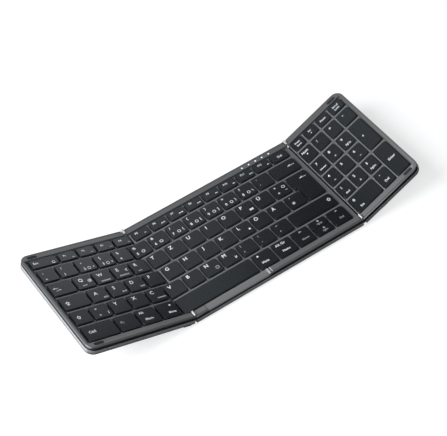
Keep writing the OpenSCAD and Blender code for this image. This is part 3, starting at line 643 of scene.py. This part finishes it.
# legends; "capHeight" is a capital's share of the letter size, and "follow" is how far the
# marks at a digit key's right move with those at its left
ink = {"thickness": 0.012, "sunk": 0.004, "boldness": 0.01, "capHeight": 0.69,
       "curveSteps": 2, "blockPitch": 1.3, "blockGap": 0.22, "blockStep": 0.25,
       "follow": 0.2, "merge": 0.00001, "angle": 20}
inkHeight = cap["top"] - ink["sunk"] + ink["thickness"] / 2

# each mark: words, distance from the key's left edge and from its back edge, height of a
# capital, ink, stretch along the row; "bar" is small print and has its length last
legends = {}


def letter(words, dx=4.85, dy=3.7):
    return [(words, dx, dy, 3.45, "white")]


def digitKey(upper, digit, third=None, ring=False, left=0.0, down=0.0):
    marks = [(upper, 3.75 + left, 3.3 + down, 2.6, "white"),
             (digit, 3.6 + left, 10.3 + down, 2.7, "white")]
    if ring:
        marks.append(("○", 9.0 + left * ink["follow"], 10.4 + down, 2.7, "white"))
    if third:
        marks.append((third, 13.2 + left * ink["follow"], 10.2 + down, 2.5, "white"))
    return marks


def functionKey(words, length, dx=4.9, dy=3.1, colour="white"):
    return [(words, dx, dy, 2.0, "white"), ("bar", dx + 7.0, dy + 3.5, 0.8, colour, length)]


def numpadKey(upper, lower=None, low=11.8):
    marks = [(upper, 4.9, 4.3, 2.6, "white")]
    if lower:
        marks.append((lower, 6.8, low, 1.8, "white"))
    return marks


legends["escape_key"] = [[("Esc", 4.9, 4.3, 2.4, "white"), ("○", 20.0, 7.6, 2.5, "white")]]
legends["left_function_keys"] = [
    functionKey("F1", 2.6, 5.7, 4.2, "grey"), functionKey("F2", 2.6, 5.7, 4.0, "grey"),
    functionKey("F3", 2.6, 6.2, 3.8, "grey"), functionKey("F4", 2.6, 6.2, 3.8, "grey")]
legends["left_number_keys"] = [
    digitKey("°", "^", left=0.3, down=1.6),
    digitKey("!", "1", left=0.8, down=1.3), digitKey('"', "2", "²", True, 1.4, 1.2),
    digitKey("§", "3", "³", True, 1.5, 1.3), digitKey("$", "4", left=1.1, down=0.9)]
legends["tab_key"] = [[("←", 5.0, 6.8, 2.4, "white", 1.9), ("→", 6.9, 9.4, 2.4, "white", 1.9)]]
legends["left_upper_keys"] = [
    letter("Q", 6.0, 5.3) + [("@", 13.3, 7.7, 2.6, "white"), ("bar", 6.9, 11.7, 1.2, "grey", 4.0)],
    letter("W", 6.4, 4.9) + [("bar", 8.6, 12.3, 1.5, "grey", 8.6)],
    letter("E", 5.3, 4.7) + [("€", 13.0, 7.0, 2.6, "white"), ("bar", 8.6, 12.0, 1.5, "grey", 9.0)],
    letter("R", 5.3, 4.4) + [("bar", 6.0, 12.0, 1.2, "grey", 3.4)]]
legends["caps_lock_key"] = [[("⇪", 5.5, 7.8, 3.1, "white")]]
legends["left_home_keys"] = [
    letter("A", 6.2, 5.6) + [("bar", 12.7, 12.0, 1.5, "grey", 4.2)],
    letter("S", 5.9, 5.0) + [("bar", 12.7, 11.5, 1.5, "grey", 4.2)],
    letter("D", 5.4, 4.6) + [("bar", 12.3, 11.4, 1.5, "grey", 4.2)],
    letter("F", 4.9, 3.9)]
legends["left_shift_key"] = [[("⇧", 5.6, 7.5, 3.1, "white")]]
legends["left_lower_keys"] = [
    [(">", 5.5, 4.0, 2.4, "white"), ("<", 5.9, 11.4, 2.4, "white"),
     ("|", 13.9, 10.9, 2.4, "white")],
    letter("Y", 6.0, 4.2), letter("X", 5.6, 4.2),
    letter("C", 5.1, 3.9) + [("bar", 10.6, 11.2, 1.3, "grey", 8.0)]]
legends["control_key"] = [[("Ctrl", 7.2, 7.8, 2.7, "white")]]
legends["left_modifier_keys"] = [
    [("Fn", 5.0, 7.5, 2.4, "grey")],
    [("Alt", 4.9, 3.6, 2.5, "white"), ("Menu", 8.4, 11.7, 2.3, "white")],
    [("•", 12.2, 4.2, 4.6, "white"), ("Meta", 10.6, 11.8, 2.3, "white")]]
legends["right_function_keys"] = [
    functionKey("F5", 1.6), functionKey("F6", 3.8), functionKey("F7", 4.2, 5.2),
    functionKey("F8", 3.4, 5.7), functionKey("F9", 2.6, 6.0), functionKey("F10", 2.4, 6.3),
    functionKey("F11", 3.4, 6.4), functionKey("F12", 2.0, 6.8)]
legends["delete_key"] = [[("Del", 9.0, 5.2, 2.3, "white")]]
legends["right_number_keys"] = [
    digitKey("%", "5", ring=True), digitKey("&", "6", ring=True),
    digitKey("/", "7", "{", True), digitKey("(", "8", "[", True), digitKey(")", "9", "]", True),
    digitKey("=", "0", "}", True), digitKey("?", "ß", "\\", True), digitKey("`", "´")]
legends["backspace_key"] = [[("←", 20.0, 7.0, 2.8, "white", 2.3)]]
legends["right_upper_keys"] = [letter(c) for c in "TZUIO"] + [
    letter("P") + [("bar", 11.8, 10.2, 2.2, "white", 3.6)], letter("Ü"),
    [("*", 4.7, 3.1, 2.8, "white"), ("+", 4.7, 10.2, 2.8, "white"),
     ("○", 12.0, 5.6, 2.8, "white"), ("~", 12.5, 10.1, 2.4, "white")]]
legends["enter_key"] = [[("←", 13.9, 6.8, 2.8, "white", 2.3)]]
legends["right_home_keys"] = [letter(c) for c in "GHJK"] + [
    letter("L") + [("•", 12.7, 9.6, 5.0, "white")], letter("Ö"), letter("Ä"),
    [("'", 4.6, 2.7, 2.6, "white"), ("#", 4.9, 9.4, 2.8, "white")]]
legends["right_lower_keys"] = [
    letter("V", 4.8, 3.4), letter("B", 4.9, 3.4),
    letter("N", 5.2, 3.2) + [("○", 12.4, 9.8, 3.0, "grey")],
    letter("M", 5.1, 3.1) + [("µ", 13.0, 10.2, 2.8, "white")],
    digitKey(";", ","), digitKey(":", "."), digitKey("_", "-", left=1.0)]
legends["right_shift_key"] = [[("⇧", 39.5, 6.2, 3.1, "white")]]
legends["right_modifier_keys"] = [
    [("•", 5.0, 3.3, 4.6, "white"), ("Meta", 7.8, 11.4, 2.3, "white")],
    [("Alt Gr", 7.6, 3.6, 2.5, "white"), ("Menu", 9.0, 11.4, 2.3, "white")]]
legends["side_arrow_keys"] = [
    [("←", 8.6, 3.2, 2.4, "white"), ("Home", 9.0, 11.4, 1.9, "grey")],
    [("→", 9.0, 3.0, 2.4, "white"), ("End", 9.4, 11.2, 1.9, "grey")]]
legends["up_arrow_key"] = [[("↑", 9.0, 2.4, 2.0, "white"), ("PgUp", 9.0, 5.6, 1.6, "grey")]]
legends["down_arrow_key"] = [[("↓", 9.0, 2.4, 2.0, "white"), ("PgDn", 9.0, 5.6, 1.6, "grey")]]
legends["numpad_top_keys"] = [
    [("Print", 6.8, 3.9, 1.9, "white"), ("Scrn", 6.8, 7.1, 1.9, "white")],
    [("Ins", 6.7, 3.9, 1.9, "white"), ("•", 6.7, 7.0, 2.6, "white")],
    [("Pause", 6.7, 5.2, 1.9, "white")],
    [("Scroll", 7.4, 3.9, 1.9, "white"), ("Lock", 7.4, 7.1, 1.9, "white")]]
legends["numpad_sign_keys"] = [
    [("Num", 5.6, 3.8, 2.4, "white"), ("•", 6.0, 7.4, 3.4, "white")],
    [("/", 4.6, 4.7, 2.4, "white")], [("*", 5.3, 4.5, 3.4, "white")],
    [("-", 5.6, 4.5, 3.2, "white")]]
legends["numpad_digit_keys"] = [
    numpadKey("7", "Home"), numpadKey("8", "↑"), numpadKey("9", "PgUp", low=12.0),
    numpadKey("4", "←"), numpadKey("5"), numpadKey("6", "→"),
    numpadKey("1", "End"), numpadKey("2", "↓"), numpadKey("3", "PgDn")]
legends["numpad_comma_key"] = [[(",", 4.9, 4.4, 2.8, "white"), ("Del", 7.0, 12.5, 2.2, "white")]]
legends["numpad_plus_key"] = [[("+", 5.2, 16.9, 2.8, "white")]]
legends["numpad_enter_key"] = [[("Enter", 8.3, 17.2, 2.3, "white")]]
legends["numpad_zero_key"] = [[("0", 5.0, 4.2, 2.8, "white"), ("Ins", 7.5, 13.4, 2.3, "white")]]


# closed letters lying flat, their middle at a point of the key's top
def addWords(bm, words, x, y, capital, stretch=1.0):
    curve = bpy.data.curves.new("words", "FONT")
    curve.body = words
    curve.size = capital / ink["capHeight"]
    curve.resolution_u = ink["curveSteps"]
    curve.offset = ink["boldness"] * curve.size
    curve.extrude = ink["thickness"] / 2
    holder = bpy.data.objects.new("words", curve)
    bpy.context.scene.collection.objects.link(holder)
    mesh = bpy.data.meshes.new_from_object(
        holder.evaluated_get(bpy.context.evaluated_depsgraph_get()))
    bpy.data.objects.remove(holder)
    bpy.data.curves.remove(curve)
    corners = [v.co for v in mesh.vertices]
    middleX = (min(c.x for c in corners) + max(c.x for c in corners)) / 2
    middleY = (min(c.y for c in corners) + max(c.y for c in corners)) / 2
    mesh.transform(Matrix.Scale(mm, 4) @ Matrix.Translation((x, y, inkHeight))
                   @ Matrix.Diagonal((stretch, 1.0, 1.0, 1.0))
                   @ Matrix.Translation((-middleX, -middleY, 0.0)))
    bm.from_mesh(mesh)
    bpy.data.meshes.remove(mesh)


# small print as a row of blocks
def addBar(bm, x, y, height, length):
    count = max(2, round(length / ink["blockPitch"]))
    pitch = length / count
    for i in range(count):
        middle = x - length / 2 + (i + 0.5) * pitch
        depth = height * (1.0 - ink["blockStep"] * (i % 2))
        size = Matrix.Diagonal((pitch - ink["blockGap"], depth, ink["thickness"], 1.0))
        bmesh.ops.create_cube(bm, size=1.0, matrix=Matrix.Scale(mm, 4)
                              @ Matrix.Translation((middle, y, inkHeight)) @ size)


marksMade = 0
for node, marksOfKeys in ((n, legends[n]) for n in keyNodes if n in legends):
    for inkName in inks:
        bm = bmesh.new()
        for corners, marks in zip(outlinesOf[node], marksOfKeys):
            left, back = corners[-1]
            for words, dx, dy, height, colour, *more in marks:
                if colour != inkName:
                    continue
                if words == "bar":
                    addBar(bm, left + dx, back - dy, height, *more)
                else:
                    addWords(bm, words, left + dx, back - dy, height, *more)
                marksMade += 1
        if len(bm.verts):
            bmesh.ops.remove_doubles(bm, verts=bm.verts, dist=ink["merge"] * mm)
            bm.transform(lifts[panelOf[bodyOf[node]]])
            name = node + "_" + inkName + "_marks"
            place(toMesh(bm, name, ink["angle"]), name, bodyOf[node],
                  [inks[inkName]])
        else:
            bm.free()
print("marks made:", marksMade)

# plain studio; places and sizes in metres
studio = {"glow": 1.15, "cameraShare": 0.6, "nearFloor": 0.35, "floorFade": 0.8,
          "worldLight": 0.03, "tint": (0.97, 1.0, 1.03), "aim": (0.0, 0.05, 0.01)}
cardFinish = {"Roughness": 0.9, "Specular_IOR_Level": 0.1}
floorCard = {"left": -4.0, "right": 4.0, "near": -4.0, "far": 4.0, "height": 0.0,
             "colour": 0.84, "light": 0.8568, "drift": 0.002}
flagCard = {"left": -0.28, "right": 0.26, "near": -0.26, "far": 0.0, "height": 0.0006,
            "colour": 0.05, "light": 0.07, "drift": 0.5}

# each lamp: place, size, power
lamps = {"leftSoftbox": ((-0.99, 0.05, 0.99), 0.7, 28.4),
         "frontSoftbox": ((-0.8, -0.75, 1.131), 0.7, 11.5),
         "backPanel": ((0.06, 0.47, 0.52), 0.3, 0.23),
         "backCard": ((0.2, 0.5, 0.25), 0.25, 0.22),
         "cornerCard": ((0.32, 0.5, 0.22), 0.2, 0.063)}


def addCard(name, card, f):
    bm = bmesh.new()
    bm.faces.new([bm.verts.new((card[x], card[y], card["height"])) for x, y in
                  (("left", "near"), ("right", "near"), ("right", "far"), ("left", "far"))])
    mesh = bpy.data.meshes.new(name)
    bm.to_mesh(mesh)
    bm.free()
    mesh.materials.append(f.material)
    f.drive(Base_Color=f.shades(f.noise(card["drift"]), card))
    piece = bpy.data.objects.new(name, mesh)
    bpy.context.scene.collection.objects.link(piece)
    return piece


# lit by the lamps, with a glow of its own that the camera sees more of far away
def addFloor():
    f = Finish("floorCard", **cardFinish)
    floor = addCard("floor", floorCard, f)
    glow = f.node("ShaderNodeEmission", inputs={"Color": grey(1.0), "Strength": studio["glow"]})
    toCamera = f.node("ShaderNodeLightPath", out="Is Camera Ray")
    away = f.node("ShaderNodeVectorMath", {"operation": "LENGTH"}, {0: f.place}, out="Value")
    far = ((away - studio["nearFloor"]) * (1 / studio["floorFade"])).share()
    both = f.node("ShaderNodeMixShader", inputs={
        0: toCamera * (far * (1 - studio["cameraShare"]) + studio["cameraShare"]),
        1: Wire(f, f.shader.outputs[0]), 2: glow})
    f.join(f.tree.nodes["Material Output"].inputs["Surface"], both)


# a dark card in front, met only by reflections, so that the front sides show up
def addFlag():
    card = addCard("flag", flagCard, Finish("flagCloth", **cardFinish))
    card.visible_camera = False
    card.visible_diffuse = False
    card.visible_shadow = False


def addLamp(name, at, size, power):
    data = bpy.data.lights.new(name, "AREA")
    data.shape = "SQUARE"
    data.size = size
    data.energy = power
    data.color = studio["tint"]
    lamp = bpy.data.objects.new(name, data)
    bpy.context.scene.collection.objects.link(lamp)
    lamp.location = at
    lamp.visible_camera = False
    aim = Vector(studio["aim"]) - Vector(at)
    lamp.rotation_euler = aim.to_track_quat("-Z", "Y").to_euler()


addFloor()
addFlag()
for name, (at, size, power) in lamps.items():
    addLamp(name, at, size, power)

# white for the camera, faint for everything else
world = bpy.data.worlds.new("studio")
world.use_nodes = True
air = Shading(world.node_tree)
toCamera = air.node("ShaderNodeLightPath", out="Is Camera Ray")
sky = air.tree.nodes["Background"]
air.join(sky.inputs["Color"], grey(1.0))
air.join(sky.inputs["Strength"], toCamera * (1 - studio["worldLight"]) + studio["worldLight"])
bpy.context.scene.world = world

view = {"at": (-0.40507, -0.68458, 0.96703), "right": (0.82846, -0.55273, -0.09022),
        "up": (0.46636, 0.59167, 0.6576), "lens": 120.557, "sensor": 36, "farthest": 20}
cameraData = bpy.data.cameras.new("camera")
cameraData.sensor_width = view["sensor"]
cameraData.sensor_fit = "HORIZONTAL"
cameraData.lens = view["lens"]
cameraData.clip_end = view["farthest"]
camera = bpy.data.objects.new("camera", cameraData)
bpy.context.scene.collection.objects.link(camera)
right, up = Vector(view["right"]).normalized(), Vector(view["up"]).normalized()
turned = Matrix((right, up, right.cross(up))).transposed().to_4x4()
camera.matrix_world = Matrix.Translation(view["at"]) @ turned
bpy.context.scene.camera = camera
bpy.context.scene.view_settings.view_transform = "Standard"
print("studio and camera set")
